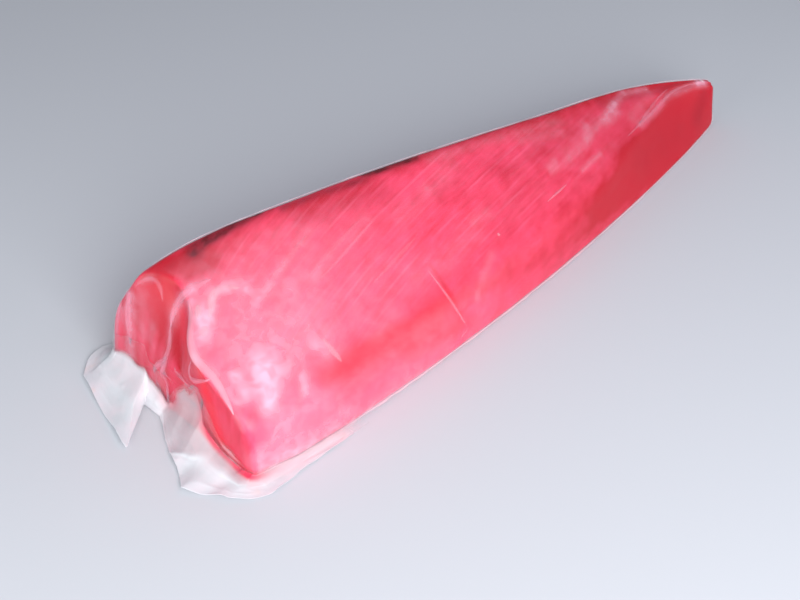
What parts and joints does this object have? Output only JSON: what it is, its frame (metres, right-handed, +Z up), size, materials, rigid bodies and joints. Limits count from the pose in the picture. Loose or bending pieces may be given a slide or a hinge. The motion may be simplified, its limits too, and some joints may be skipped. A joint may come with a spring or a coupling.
{
  "type": "raw tuna loin",
  "caption": "Long tapered skinless loin of raw red fish in a clear film bag, tight over the flesh and loose round the thick end, lying flat to be portioned or shown.",
  "frame": {"origin": "middle of the base's bounding box, on the surface that the loin lies on", "axes": "+X from the thick end to the tail, +Y toward the ridge side, +Z up"},
  "size_m": [0.5442, 0.1666, 0.0904],
  "materials": {
    "tuna_flesh": "raw red flesh, wet and glossy under tight clear film",
    "bag_film": "thin milky polythene film, creased and softly glossy"
  },
  "bodies": {
    "root": {"tuna_loin": "tuna_flesh", "film_skirt": "bag_film"}
  },
  "joints": []
}
